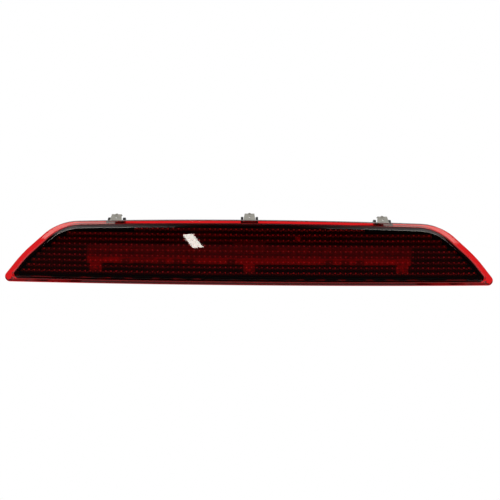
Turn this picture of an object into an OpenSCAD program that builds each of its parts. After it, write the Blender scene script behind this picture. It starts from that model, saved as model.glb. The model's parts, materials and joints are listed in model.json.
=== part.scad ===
// Third brake light: a bowed red lens cap over a black housing tray, an LED board inside,
// three spring clips on the top edge, a two-way plug socket and two locating pegs on the back.
// The front faces -Y, +X runs to the right, +Z is up. Y is zero on the back face of the housing.

/* [Lens outline] */
// Width of the lens from tip to tip
lens_w = 400; // [385:1:425]
// Height of the lens at its middle
lens_h = 52.8; // [49:0.2:58]
// Slope of the slanted ends next to the lower tips, in degrees
end_low_angle = 50.8; // [48:0.1:53]
// Slope of the slanted ends next to the shoulders, in degrees
end_high_angle = 41.2; // [39:0.1:44]
// Height above the bottom edge where the end changes slope
knee_h = 23.6; // [22:0.1:27]
// Radius of the end where it changes slope
knee_r = 115; // [80:1:120]
// Radius of the shoulders
shoulder_r = 44; // [36:1:52]
// Fall of the top edge at the shoulders, in degrees
top_slope = 1.9; // [1.2:0.1:2.3]
// Radius of the lower tips
tip_r = 4.1; // [3.4:0.1:5]
// Radius of the lower corners inside the lens and housing
inner_corner_r = 2.5; // [1.6:0.1:2.8]
// Thickness of the skirt along the slanted ends, as a share of its thickness elsewhere
end_share = 1.5; // [1.2:0.05:1.6]

/* [Lens shell] */
// Radius of the bow that sweeps both ends back
bow_r = 1600; // [1450:10:1900]
// Depth of the lens from its front to the back edge of its skirt
skirt_depth = 9; // [8.4:0.1:10.5]
// Thickness of the skirt, seen from the front as the bright rim
skirt_t = 3.2; // [2.8:0.1:3.6]
// Thickness of the lens front
lens_wall = 2.8; // [2.4:0.1:3]
// Width over which the raised front rounds off to the flat rim
edge_run = 5.4; // [5:0.1:5.5]
// Height of the raised front over the flat rim
edge_drop = 2; // [1.6:0.1:2.2]
// Rise of the front face at half height
face_crown = 0.7; // [0.2:0.1:1.2]

/* [Pillow optics] */
// Width of one pillow
pillow_w = 4.22; // [3.8:0.02:6]
// Height of one pillow
pillow_h = 4.38; // [4:0.02:6]
// Height of a pillow over the inner face of the lens
pillow_rise = 0.9; // [0.4:0.1:1.2]
// Height of the pillow field over the middle of the lens
pillow_shift = 0.6; // [0:0.1:1]

/* [Housing] */
// Space between the skirt and the back face at the tips
back_gap = 3; // [2.5:0.1:5]
// Gap between the skirt and the housing
fit_gap = 0.2; // [0.1:0.05:0.3]
// Thickness of the housing walls
wall_t = 2; // [1.8:0.1:2.4]
// Thickness of the housing back
back_t = 2.2; // [1.8:0.1:2.6]
// Thickness of the ribs on the back
rib_t = 1.6; // [1.2:0.1:2.2]
// Height of the ribs on the back
rib_h = 3; // [1.5:0.1:4]
// Distance between the two locating pegs
peg_span = 150; // [130:1:170]
// Radius of the locating pegs
peg_r = 3; // [2.5:0.1:3.5]
// Length of the straight part of the locating pegs
peg_len = 8; // [6:0.5:12]
// Distance between the two lower hooks
hook_span = 220; // [180:1:250]
// Width of a lower hook
hook_w = 18; // [12:1:24]
// Reach of a lower hook behind the back face
hook_len = 9; // [7:0.5:12]

/* [Spring clips] */
// Distance from the middle clip to each outer clip
clip_pitch = 109.2; // [95:0.2:118]
// Width of the clip strip
clip_w = 9.6; // [9:0.1:11]
// Thickness of the clip strip
clip_t = 0.5; // [0.4:0.05:0.6]
// Outer radius of the fold at the front of a clip
fold_r = 1.35; // [1.3:0.05:1.5]
// Depth of the middle of the fold under the top edge of the lens
fold_drop = 1.4; // [1.2:0.05:1.5]
// Running gap in the fold
fold_gap = 0.08; // [0.05:0.01:0.1]
// Height of the crest of a clip over its fold
crest_h = 5.2; // [4.8:0.1:5.8]
// Distance from the fold back to the crest of a clip
crest_run = 9; // [8:0.1:9.6]
// Width of a clip at its crest
crest_w = 8.1; // [7:0.1:9]
// Height of the raised bead on the crest
bead_h = 0.5; // [0.3:0.1:0.7]
// Length of the clip lugs on the housing, front to back
lug_len = 17; // [16.6:0.1:19]
// Width of the cheeks on both sides of a clip
cheek_w = 2; // [1.5:0.1:3]
// Height of the cheeks over the top edge of the lens
cheek_h = 1.15; // [0.6:0.05:1.4]

/* [LED board] */
// Length of the LED board
board_w = 264; // [250:1:272]
// Height of the LED board
board_h = 14.6; // [13.6:0.1:16]
// Thickness of the LED board
board_t = 1.6; // [1.2:0.1:2]
// Height of the middle of the board over the middle of the lens
board_z = -2.6; // [-3.4:0.1:-1.8]
// Width of the three screw tabs under the board
tab_w = 9.6; // [8.6:0.1:12]
// Reach of the three screw tabs under the board
tab_h = 6.4; // [6:0.1:7]
// Distance between LEDs
led_pitch = 18; // [18:0.5:22]
// Width of one LED
led_w = 7.6; // [6:0.1:8]
// Height of one LED over the board
led_h = 4.6; // [4:0.1:5]
// Length of one resistor
resistor_w = 6.3; // [5:0.1:7]
// Height of one resistor
resistor_h = 3.2; // [2.4:0.1:3.6]
// Length of the driver chip
driver_w = 13.4; // [10:0.1:15]
// Height of the driver chip, the capacitors and the diode
chip_h = 4.4; // [3.6:0.1:4.8]
// Length of one capacitor
capacitor_w = 7.4; // [6:0.1:8]
// Length of the diode
diode_w = 6.8; // [5:0.1:8]
// Radius of the head of a board screw
screw_r = 2.7; // [2.2:0.1:2.9]

/* [Socket] */
// Inner width of the plug socket
socket_w = 17; // [15:0.1:19]
// Inner height of the plug socket
socket_h = 9.6; // [9:0.1:10]
// Wall of the plug socket
socket_t = 1.6; // [1.2:0.1:2]
// Reach of the plug socket behind the back face
socket_len = 16; // [13:0.5:20]
// Distance between the two terminals
terminal_span = 7; // [6.6:0.1:7.2]
// Width of a terminal
terminal_w = 2.8; // [2:0.1:3]
// Thickness of a terminal
terminal_t = 0.8; // [0.6:0.05:1]
// Outer width of the foam seal round the socket
seal_w = 62; // [50:1:70]
// Outer height of the foam seal round the socket
seal_h = 34; // [32:1:36]
// Thickness of the foam seal round the socket
seal_t = 4; // [2:0.5:6]

/* [Hidden] */
$fn = 48;
eps = 0.01;
// outline: the four edges of the right half, by the angle of their normals from +Z
a_top = top_slope;
a_high = end_high_angle;
a_low = end_low_angle;
tip_x = lens_w / 2 + tip_r * (1 / tan(a_low / 2) - 1);
knee_x = tip_x - knee_h / tan(a_low);
knee_z = knee_h - lens_h / 2;
c_low = sin(a_low) * tip_x - cos(a_low) * lens_h / 2;
c_high = sin(a_high) * knee_x + cos(a_high) * knee_z;
shoulder_run = shoulder_r * tan((a_high - a_top) / 2);
crown_len = 0.985 * (knee_x - (lens_h - knee_h) / tan(a_high) - shoulder_run);
crown_r = crown_len / tan(a_top);
crown_z = lens_h / 2 + crown_r * (1 / cos(a_top) - 1);
c_top = crown_z * cos(a_top);
// steps along each arc of the outline
n_crown = 8;
n_shoulder = 8;
n_knee = 2;
n_tip = 4;
// levels, front to back
body_depth = bow(lens_w / 2) + skirt_depth + back_gap;
face_y = -body_depth;
skirt_in = skirt_t + fit_gap;
seat_depth = lens_wall + 2.1;
field_inset = skirt_t + 2.6;
led_n = 2 * floor((board_w - led_w - 6) / led_pitch / 2 + 0.5);
led_end = (led_n - 1) / 2 * led_pitch + led_w / 2;
board_y = face_y + bow(led_end) + lens_wall + pillow_rise + led_h + 1.6;
board_back = board_y + board_t;
tab_x = (board_w - tab_w) / 2 - 2.4;
tab_z = board_z - board_h / 2 - tab_h / 2;
// clips
bore_r = fold_r - clip_t;
pin_r = bore_r - fold_gap;
clip_gap = 0.3;
lug_w = clip_w + 2 * clip_gap + 2 * cheek_w;
lug_y = face_y + bow(clip_pitch + lug_w / 2) + skirt_depth + 0.5;
plate_t = 1.6;
base_len = lug_len - 1.6 + clip_t + 0.1;
// socket
head_w = socket_w + 2 * socket_t;
head_h = socket_h + 2 * socket_t;
flange_w = head_w + 6;
flange_h = head_h + 4;
head_z = board_z + 1.8;
gasket_t = 1.4;
vent_r = 5.4;
vent_x = seal_w / 2 + vent_r + 3.1;

function bow(x) = bow_r - sqrt(bow_r * bow_r - x * x);
function dir(t) = [sin(t), cos(t)];
function meet(ta, ca, tb, cb) =
    [ca * cos(tb) - cb * cos(ta), sin(ta) * cb - sin(tb) * ca] / sin(ta - tb);
function mid(v, r, ta, tb) = v - r / cos((tb - ta) / 2) * dir((ta + tb) / 2);
function arc(m, r, ta, tb, n) = [for (i = [0:n]) m + r * dir(ta + (tb - ta) * i / n)];

// right half of the outline moved in by d, and further along the slanted ends:
// [x, upper z, lower z] from the middle to the tip
function half(d) =
    let (
        low = -lens_h / 2 + d,
        e = d + min(d, skirt_t) * (end_share - 1),
        rc = crown_r - d,
        mc = [0, (c_top - d) / cos(a_top) - rc / cos(a_top)],
        rs = shoulder_r - d,
        ms = mid(meet(a_top, c_top - d, a_high, c_high - e), rs, a_top, a_high),
        rk = knee_r * max(0.1, 1 - d / (skirt_t + edge_run + 0.4)),
        mk = mid(meet(a_high, c_high - e, a_low, c_low - e), rk, a_high, a_low),
        rt = max(tip_r - d, inner_corner_r),
        mt = mid(meet(a_low, c_low - e, 180, -low), rt, a_low, 180),
        side = [for (t = [0, 25]) let (x = mt[0] + rt * sin(t))
            [x, (c_low - e - sin(a_low) * x) / cos(a_low)]],
        up = concat(
            arc(mc, rc, 0, a_top, n_crown),
            arc(ms, rs, a_top, a_high, n_shoulder),
            arc(mk, rk, a_high, a_low, n_knee),
            side,
            arc(mt, rt, a_low, 90, n_tip))
    )
    [for (p = up) [p[0], p[1], p[0] <= mt[0]
        ? low
        : mt[1] - sqrt(max(0, rt * rt - pow(p[0] - mt[0], 2)))]];
// the same from the left tip to the right tip
function stations(d) = let (h = half(d), n = len(h) - 1)
    [for (i = [-n:n]) [i < 0 ? -h[-i][0] : h[i][0], h[abs(i)][1], h[abs(i)][2]]];
// closed loop: along the top to the right, back along the bottom
function loop(s) = let (n = len(s) - 1) concat(
    [for (i = [0:n]) [s[i][0], s[i][1]]],
    [for (i = [n - 1:-1:1]) [s[i][0], s[i][2]]]);
function outline(d) = loop(stations(d));
// a point on the bowed front, moved back by depth
function bent(p, depth) = [p[0], face_y + bow(p[0]) + depth, p[1]];
function ring(d, depth) = [for (p = outline(d)) bent(p, depth)];
// half width of the lens at height z, moved in by d
function reach(z, d, h, i = 0) = i >= len(h) - 1
    ? h[len(h) - 1][0]
    : h[i + 1][1] < z ? h[i][0] + (h[i + 1][0] - h[i][0]) * (h[i][1] - z) / (h[i][1] - h[i + 1][1])
    : reach(z, d, h, i + 1);
function top_at(x) = crown_z - crown_r / cos(a_top) + sqrt(crown_r * crown_r - x * x);
// strip of thickness t along a line of points
function ahead(p, i) = let (n = len(p) - 1, a = p[max(i - 1, 0)], b = p[min(i + 1, n)])
    (b - a) / norm(b - a);
function side_of(p, i, s) = let (u = ahead(p, i)) p[i] + s * [-u[1], u[0]];
function strip(p, t) = concat(
    [for (i = [0:len(p) - 1]) side_of(p, i, t / 2)],
    [for (i = [len(p) - 1:-1:0]) side_of(p, i, -t / 2)]);
function rounded(w, h, r) = [for (q = [0:3], i = [0:5]) let (t = 90 * q + 18 * i)
    [(q == 0 || q == 1 ? 1 : -1) * (w / 2 - r) + r * sin(t),
     (q == 0 || q == 3 ? 1 : -1) * (h / 2 - r) + r * cos(t)]];

// extrudes an XZ shape from y0 forward to y1
module slab(y0, y1) {
    translate([0, y0, 0]) rotate([90, 0, 0]) linear_extrude(y0 - y1) children();
}
// extrudes a YZ shape over a width along X
module across(w) {
    rotate([90, 0, 90]) linear_extrude(w, center = true) children();
}
module block(x, y, z) {
    translate([x[0], y[0], z[0]]) cube([x[1] - x[0], y[1] - y[0], z[1] - z[0]]);
}
module rod(p, r, y0, y1) {
    translate([p[0], y0, p[1]]) rotate([-90, 0, 0]) cylinder(r = r, h = y1 - y0);
}

// shell of the lens: rings from the back of the skirt over the flat rim and the rounded edge of
// the raised front, closed by two caps
module lens_shell() {
    rim_edge = [for (t = [0:30:90]) [1.2 * (1 - cos(t)), edge_drop + 1.3 * (1 - sin(t))]];
    fillet = [for (t = [0:18:90]) [skirt_t + edge_run * (1 - cos(t)), edge_drop * (1 - sin(t))]];
    outer = concat([[0, skirt_depth]], rim_edge, fillet);
    inner = [
        [skirt_t + 2.2, lens_wall + 0.05],
        [skirt_t + 1, lens_wall + 0.4],
        [skirt_t + 0.1, lens_wall + 1.8],
        [skirt_t, skirt_depth]];
    rings = concat(outer, inner);
    no = len(outer);
    nr = len(rings);
    s = stations(0);
    ns = len(s);
    n = 2 * ns - 2;
    rows = 4;
    out_s = stations(outer[no - 1][0]);
    in_s = stations(inner[0][0]);
    cap_h = lens_h - 2 * outer[no - 1][0];
    ring_pts = [for (r = rings) each ring(r[0], r[1])];
    out_pts = [for (i = [1:ns - 2], q = [1:rows - 1]) let (t = q / rows)
        bent([out_s[i][0], out_s[i][1] + t * (out_s[i][2] - out_s[i][1])],
             -4 * face_crown * t * (1 - t) * pow((out_s[i][1] - out_s[i][2]) / cap_h, 2))];
    in_pts = [for (i = [1:ns - 2], q = [1:rows - 1]) let (t = q / rows)
        bent([in_s[i][0], in_s[i][1] + t * (in_s[i][2] - in_s[i][1])], lens_wall)];
    o0 = nr * n;
    i0 = o0 + len(out_pts);
    side = [for (k = [0:nr - 1], j = [0:n - 1])
        if (k != no - 1)
            let (a = k * n + j, b = k * n + (j + 1) % n, k2 = (k + 1) % nr,
                 c = k2 * n + (j + 1) % n, d = k2 * n + j)
            each [[a, b, c], [a, c, d]]];
    // number of a cap point at station i, row q, on ring k with its inner points from p0
    caps = [for (cap = [[no - 1, o0, 1], [no, i0, -1]], i = [0:ns - 2], q = [0:rows - 1])
        let (
            at = [for (w = [[i, q], [i + 1, q], [i + 1, q + 1], [i, q + 1]])
                w[1] == 0 || w[0] == 0 || w[0] == ns - 1
                ? cap[0] * n + w[0]
                : w[1] == rows
                ? cap[0] * n + n - w[0]
                : cap[1] + (w[0] - 1) * (rows - 1) + w[1] - 1],
            t1 = cap[2] > 0 ? [at[0], at[1], at[2]] : [at[2], at[1], at[0]],
            t2 = cap[2] > 0 ? [at[0], at[2], at[3]] : [at[3], at[2], at[0]])
        each [t1, t2]];
    faces = [for (f = concat(side, caps)) if (f[0] != f[1] && f[1] != f[2] && f[0] != f[2]) f];
    polyhedron(points = concat(ring_pts, out_pts, in_pts), faces = faces, convexity = 6);
}

// one row of pillows on the inner face, between heights z0 and z1, n pillows each side
module pillow_row(z0, z1, n) {
    foot = lens_wall - 0.4;
    valley = lens_wall + 0.12;
    tip = lens_wall + pillow_rise;
    edge = [for (i = [-n:n]) let (x = i * pillow_w)
        each [bent([x, z1], valley), bent([x, z0], valley), bent([x, z1], foot), bent([x, z0], foot)]];
    tops = [for (i = [-n:n - 1]) bent([(i + 0.5) * pillow_w, (z0 + z1) / 2], tip)];
    t0 = len(edge);
    cells = [for (i = [0:2 * n - 1]) let (a = 4 * i, b = 4 * i + 4, t = t0 + i) each [
        [a, t, b], [b, t, b + 1], [b + 1, t, a + 1], [a + 1, t, a],
        [a + 2, b + 2, b + 3], [a + 2, b + 3, a + 3],
        [a, b, b + 2], [a, b + 2, a + 2],
        [a + 1, b + 3, b + 1], [a + 1, a + 3, b + 3]]];
    e = 8 * n;
    ends = [[0, 2, 3], [0, 3, 1], [e, e + 3, e + 2], [e, e + 1, e + 3]];
    polyhedron(points = concat(edge, tops), faces = concat(cells, ends), convexity = 4);
}

module lens() {
    rows = floor((lens_h - 2 * field_inset) / pillow_h);
    low = pillow_shift - rows * pillow_h / 2;
    h = half(field_inset);
    // resize with zeros keeps the size and joins wall and pillows into one skin
    color("#b0141a") resize([0, 0, 0]) union() {
        lens_shell();
        for (k = [0:rows - 1]) {
            z0 = low + k * pillow_h;
            z1 = z0 + pillow_h;
            pillow_row(z0, z1, floor(reach(z1, field_inset, h) / pillow_w));
        }
    }
}

// lug for one clip: a channel between two cheeks that rise at the back, hollow from the back
module lug(x) {
    zt = top_at(x);
    foot = zt - skirt_in - 1.4;
    top = zt + cheek_h;
    floor_z = zt - fold_drop - fold_r;
    rise = lug_len * 0.45;
    half_w = clip_w / 2 + clip_gap;
    difference() {
        translate([x, lug_y, 0]) across(lug_w) polygon([
            [0, foot], [0, zt - 1.2], [rise, zt - 0.7], [rise + 1.8, top], [lug_len - 3.5, top],
            [lug_len, top - 1.6], [lug_len, foot]]);
        block([x - half_w, x + half_w], [lug_y - 1, lug_y + lug_len + 1], [floor_z, top + 1]);
        block([x - half_w, x + half_w], [lug_y + lug_len - 1.6, lug_y + lug_len + 1], [foot - 1, zt]);
        block([x - half_w, x + half_w], [lug_y + lug_len - 6, lug_y + lug_len + 1],
              [foot - 1, floor_z - plate_t]);
    }
}

module hook(x) {
    z = -lens_h / 2 + skirt_in + 5;
    translate([x, 0, 0]) across(hook_w) polygon([
        [-1, z], [hook_len - 2.6, z], [hook_len - 1.4, z - 2], [hook_len, z - 2],
        [hook_len, z + 1.6], [hook_len - 0.8, z + 2.4], [3, z + 2.4], [0, z + 5], [-1, z + 5]]);
}

module housing() {
    rib_z = lens_h * 0.21;
    rib_end = reach(rib_z + rib_t, skirt_in, half(skirt_in)) - 8;
    rib_w = rib_end - vent_x - vent_r - 2;
    rib_x = rib_end - rib_w / 2;
    color("#17181a") difference() {
        union() {
            difference() {
                intersection() {
                    slab(0, face_y) polygon(outline(skirt_in));
                    translate([0, face_y + bow_r, 0])
                        cylinder(r = bow_r - seat_depth, h = 2 * lens_h, center = true, $fn = 720);
                }
                slab(-back_t, face_y - 1) polygon(outline(skirt_in + wall_t));
            }
            for (x = [-clip_pitch, 0, clip_pitch]) lug(x);
            for (s = [-1, 1]) {
                hook(s * hook_span / 2);
                rod([s * peg_span / 2, 0], peg_r, -1, peg_len);
                translate([s * peg_span / 2, peg_len, 0]) rotate([-90, 0, 0])
                    cylinder(r1 = peg_r, r2 = peg_r * 0.6, h = 2);
                for (z = [-rib_z, rib_z])
                    block([s * rib_x - rib_w / 2, s * rib_x + rib_w / 2], [-0.5, rib_h], [z - rib_t / 2, z + rib_t / 2]);
                for (k = [-0.47, 0, 0.3])
                    block([s * (rib_x + k * rib_w) - rib_t / 2, s * (rib_x + k * rib_w) + rib_t / 2],
                          [-0.5, rib_h], [-rib_z, rib_z]);
            }
            for (x = [-tab_x, 0, tab_x]) rod([x, tab_z], screw_r + 0.5, board_back, -back_t + 0.5);
            rod([vent_x, 10.5], vent_r, -0.5, 2);
        }
        block([-head_w / 2 - 0.2, head_w / 2 + 0.2], [-back_t - 1, 1],
              [head_z - head_h / 2 - 0.2, head_z + head_h / 2 + 0.2]);
        for (x = [-tab_x, 0, tab_x]) rod([x, tab_z], screw_r / 2 + 0.05, board_back - 1, -back_t + 0.6);
        rod([vent_x, 10.5], vent_r * 0.46, -back_t - 1, 3);
    }
}

module body_seal() {
    color("#2b2c2e") difference() {
        slab(seal_t, 0) translate([0, head_z]) polygon(rounded(seal_w, seal_h, 6));
        slab(seal_t + 1, -1) translate([0, head_z]) polygon(rounded(seal_w - 14, seal_h - 11, 3));
    }
}

module vent_membrane() {
    color("#e4e4e0") rod([vent_x, 10.5], vent_r - 0.8, 2, 2.4);
}

module connector_header() {
    y_wall = -back_t - gasket_t;
    color("#25262a") difference() {
        union() {
            block([-head_w / 2, head_w / 2], [board_back, socket_len],
                  [head_z - head_h / 2, head_z + head_h / 2]);
            block([-flange_w / 2, flange_w / 2], [y_wall - 1.6, y_wall],
                  [head_z - flange_h / 2, head_z + flange_h / 2]);
            translate([0, 0, head_z + head_h / 2]) across(6) polygon([
                [socket_len - 8.5, -0.5], [socket_len - 8.5, 1.6], [socket_len - 7.5, 1.6],
                [socket_len - 3, 0], [socket_len - 3, -0.5]]);
        }
        block([-socket_w / 2, socket_w / 2], [0.8, socket_len + 1],
              [head_z - socket_h / 2, head_z + socket_h / 2]);
        for (s = [-1, 1])
            block([s * terminal_span / 2 - terminal_w / 2 - 0.05,
                   s * terminal_span / 2 + terminal_w / 2 + 0.05],
                  [board_back - 1, 2], [head_z - terminal_t / 2 - 0.05, head_z + terminal_t / 2 + 0.05]);
    }
}

module connector_seal() {
    color("#c8641e") difference() {
        slab(-back_t, -back_t - gasket_t) translate([0, head_z]) polygon(rounded(flange_w, flange_h, 2));
        slab(0, -back_t - gasket_t - 1) translate([0, head_z]) polygon(rounded(head_w + 0.4, head_h + 0.4, 0.5));
    }
}

module terminal(s) {
    x = s * terminal_span / 2;
    color("#c9b98a") translate([x, 0, head_z]) slab(socket_len - 4, board_y - 1)
        square([terminal_w, terminal_t], center = true);
}
module terminal_left() { terminal(-1); }
module terminal_right() { terminal(1); }

module led_board() {
    color("#d9dcd2") difference() {
        union() {
            block([-board_w / 2, board_w / 2], [board_y, board_back],
                  [board_z - board_h / 2, board_z + board_h / 2]);
            for (x = [-tab_x, 0, tab_x])
                block([x - tab_w / 2, x + tab_w / 2], [board_y, board_back],
                      [board_z - board_h / 2 - tab_h, board_z]);
        }
        for (x = [-tab_x, 0, tab_x]) rod([x, tab_z], screw_r / 2 + 0.25, board_y - 1, board_back + 1);
        for (s = [-1, 1]) translate([s * terminal_span / 2, 0, head_z]) slab(board_back + 1, board_y - 1)
            square([terminal_w + 0.2, terminal_t + 0.2], center = true);
    }
}

module leds() {
    z = board_z + board_h / 2 - led_w / 2 - 0.8;
    body = led_h * 0.5;
    color("#d8402c") for (i = [0:led_n - 1]) let (x = (i - (led_n - 1) / 2) * led_pitch) {
        block([x - led_w / 2, x + led_w / 2], [board_y - body, board_y], [z - led_w / 2, z + led_w / 2]);
        translate([x, board_y - body + eps, z]) rotate([90, 0, 0])
            cylinder(r1 = led_w * 0.36, r2 = led_w * 0.2, h = led_h - body);
    }
}

// chips along the lower edge of the board
module chip(x, w, h, t) {
    z = board_z - board_h / 2 + h / 2 + 0.5;
    block([x - w / 2, x + w / 2], [board_y - t, board_y], [z - h / 2, z + h / 2]);
}
module resistors() {
    places = [-0.38, -0.27, -0.22, -0.18, -0.055, 0.245, 0.295, 0.34];
    color("#202124") for (k = places) chip(k * board_w, resistor_w, resistor_h, resistor_h / 4);
}
module driver_chip() {
    color("#a9a9a2") chip(-board_w / 2 + tab_w + driver_w * 0.76, driver_w, chip_h, chip_h / 2);
}
module capacitors() {
    color("#c9a878") for (i = [0, 1])
        chip(-board_w * 0.346 + i * capacitor_w * 1.3, capacitor_w, chip_h, chip_h * 0.6);
}
module suppressor_diode() {
    color("#a9a9a2") chip(board_w / 2 - tab_w - diode_w, diode_w, chip_h, chip_h / 2);
}

module board_screws() {
    head_t = screw_r * 0.66;
    slot_r = screw_r * 0.6;
    color("#b4b6b8") for (x = [-tab_x, 0, tab_x]) difference() {
        union() {
            rod([x, tab_z], screw_r, board_y - head_t, board_y);
            rod([x, tab_z], screw_r / 2, board_y - head_t / 2, board_back + 2.2);
        }
        block([x - slot_r, x + slot_r], [board_y - head_t - 1, board_y - head_t * 0.55], [tab_z - 0.3, tab_z + 0.3]);
        block([x - 0.3, x + 0.3], [board_y - head_t - 1, board_y - head_t * 0.55], [tab_z - slot_r, tab_z + slot_r]);
    }
}

// clips: a saddle in the lug's channel and a leg that flexes at the fold
function clip_at(x) = [x, lug_y + fold_r + 0.4, top_at(x) - fold_drop];

module clip_saddle(x) {
    top = -fold_r + clip_t + 0.05;
    back = base_len - fold_r - 0.4;
    low = -fold_r - plate_t - 0.15;
    nose = [for (t = [95:12.5:270]) fold_r * [cos(t), sin(t)]];
    color("#9b9c97") translate(clip_at(x)) across(clip_w) difference() {
        polygon(concat([[0, 0]], nose, [
            [back - clip_t, -fold_r], [back - clip_t, low], [back - 3.4, low],
            [back - 3.4, low - clip_t], [back, low - clip_t], [back, top], [1.1, top]]));
        circle(r = bore_r);
    }
}
module clip_leg(x) {
    up = [for (t = [-2:2]) [crest_run + t * 0.7, crest_h - 0.13 * t * t]];
    line = concat([[0, 0]], up, [[crest_run + 5, crest_h - 1.3]]);
    wide = clip_w / 2;
    thin = crest_w / 2;
    end = crest_run + 8;
    bead_r = 1.3;
    bead_z = crest_h + clip_t / 2 + bead_h - bead_r;
    color("#a8a9a4") translate(clip_at(x)) union() {
        difference() {
            intersection() {
                across(clip_w + 1) polygon(strip(line, clip_t));
                // seen from above the strip narrows towards the crest
                translate([0, 0, -3]) linear_extrude(crest_h + 6) polygon([
                    [-wide, -3], [wide, -3], [wide, 2.2], [thin, crest_run - 1.5], [thin, end],
                    [-thin, end], [-thin, crest_run - 1.5], [-wide, 2.2]]);
            }
            translate([0, crest_run / 2, -3]) cylinder(r = 0.75, h = crest_h + 6);
        }
        across(clip_w) circle(r = pin_r);
        difference() {
            rod([0, bead_z], bead_r, crest_run - 1.4, crest_run + 1.4);
            block([-2, 2], [crest_run - 2, crest_run + 2], [bead_z - 2, crest_h - 0.1]);
        }
    }
}
module clip_saddle_left() { clip_saddle(-clip_pitch); }
module clip_saddle_centre() { clip_saddle(0); }
module clip_saddle_right() { clip_saddle(clip_pitch); }
module clip_leg_left() { clip_leg(-clip_pitch); }
module clip_leg_centre() { clip_leg(0); }
module clip_leg_right() { clip_leg(clip_pitch); }

lens();
housing();
body_seal();
vent_membrane();
connector_header();
connector_seal();
terminal_left();
terminal_right();
led_board();
leds();
resistors();
driver_chip();
capacitors();
suppressor_diode();
board_screws();
clip_saddle_left();
clip_saddle_centre();
clip_saddle_right();
clip_leg_left();
clip_leg_centre();
clip_leg_right();
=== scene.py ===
"""Third brake light: the looks of the lamp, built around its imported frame.

The frame is in metres. The lens faces -Y, +X runs to the right and +Z is up.
"""

from __future__ import annotations

import json
import logging
import math
from dataclasses import astuple, dataclass, field
from enum import Enum
from typing import Callable, Sequence

import bmesh
import bpy
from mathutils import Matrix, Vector
from mathutils.kdtree import KDTree

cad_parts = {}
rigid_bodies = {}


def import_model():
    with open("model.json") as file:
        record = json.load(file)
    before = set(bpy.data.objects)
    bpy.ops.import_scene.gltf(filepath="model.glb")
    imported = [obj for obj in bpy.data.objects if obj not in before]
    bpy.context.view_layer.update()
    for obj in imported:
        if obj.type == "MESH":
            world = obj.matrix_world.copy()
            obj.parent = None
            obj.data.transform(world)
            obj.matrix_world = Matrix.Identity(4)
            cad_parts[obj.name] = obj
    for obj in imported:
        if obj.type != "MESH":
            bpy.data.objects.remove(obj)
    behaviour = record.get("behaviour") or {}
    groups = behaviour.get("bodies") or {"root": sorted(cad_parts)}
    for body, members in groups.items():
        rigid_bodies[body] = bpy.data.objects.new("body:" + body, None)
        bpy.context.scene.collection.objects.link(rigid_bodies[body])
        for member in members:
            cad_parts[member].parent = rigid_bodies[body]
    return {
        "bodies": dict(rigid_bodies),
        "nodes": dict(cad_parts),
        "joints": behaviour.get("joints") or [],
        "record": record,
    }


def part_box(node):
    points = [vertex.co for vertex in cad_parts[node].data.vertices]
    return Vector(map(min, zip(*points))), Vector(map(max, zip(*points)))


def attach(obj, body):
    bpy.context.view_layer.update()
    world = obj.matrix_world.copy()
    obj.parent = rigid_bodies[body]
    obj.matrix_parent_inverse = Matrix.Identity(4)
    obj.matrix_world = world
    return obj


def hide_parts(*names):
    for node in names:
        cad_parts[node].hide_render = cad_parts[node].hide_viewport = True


LOG = logging.getLogger("brake_light")
MM = 0.001
Colour = tuple[float, float, float]
Flat = tuple[float, float]
Point = tuple[float, float, float]
Piece = bpy.types.Object
Socket = bpy.types.NodeSocket

NOISE_BAND: Flat = (0.3, 0.7)  # most values of a noise lie in it
MOTTLE = 14  # size of the patches of colour, in grains
WEAR = 5  # size of the patches of gloss, in grains
FLOW = 6  # size of the flow marks in clear plastic, in grains
WAVE = 0.31  # length of one band of a wave texture at scale 1
SAME_POINT = 1e-7  # points closer than this, in metres, are one
TINY = 1e-9


# ------------------------------------------------------------------ work at the mesh


def deselect() -> None:
    """Leaves nothing selected."""
    bpy.ops.object.select_all(action="DESELECT")


def focus(obj: Piece) -> None:
    """Makes obj the only selected and the active object.

    Args:
        obj: the object to work on.
    """
    deselect()
    obj.select_set(True)
    bpy.context.view_layer.objects.active = obj


def christen(name: str) -> Piece:
    """Names the object that was just added.

    Args:
        name: the name of the piece and its mesh.

    Returns:
        The active object.
    """
    obj = bpy.context.active_object
    obj.name = name
    obj.data.name = name
    return obj


def settle(obj: Piece) -> None:
    """Puts place, turn and size of obj into its mesh."""
    focus(obj)
    bpy.ops.object.transform_apply(location=True, rotation=True, scale=True)


def apply_modifiers(obj: Piece) -> None:
    """Applies every modifier of obj, in order.

    Args:
        obj: the mesh object.
    """
    focus(obj)
    for modifier in list(obj.modifiers):
        bpy.ops.object.modifier_apply(modifier=modifier.name)


def move_points(obj: Piece, rule: Callable[[Vector], Vector]) -> None:
    """Moves every vertex of obj by a rule.

    Args:
        obj: the mesh object, in object mode.
        rule: gives a vertex's new place from its old one.
    """
    for vertex in obj.data.vertices:
        vertex.co = rule(vertex.co.copy())
    obj.data.update()


def finder(points: Sequence[Point]) -> KDTree:
    """Makes a search tree over points.

    Args:
        points: the places to find again.

    Returns:
        The balanced tree, with each point's number.
    """
    tree = KDTree(len(points))
    for number, point in enumerate(points):
        tree.insert(point, number)
    tree.balance()
    return tree


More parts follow.
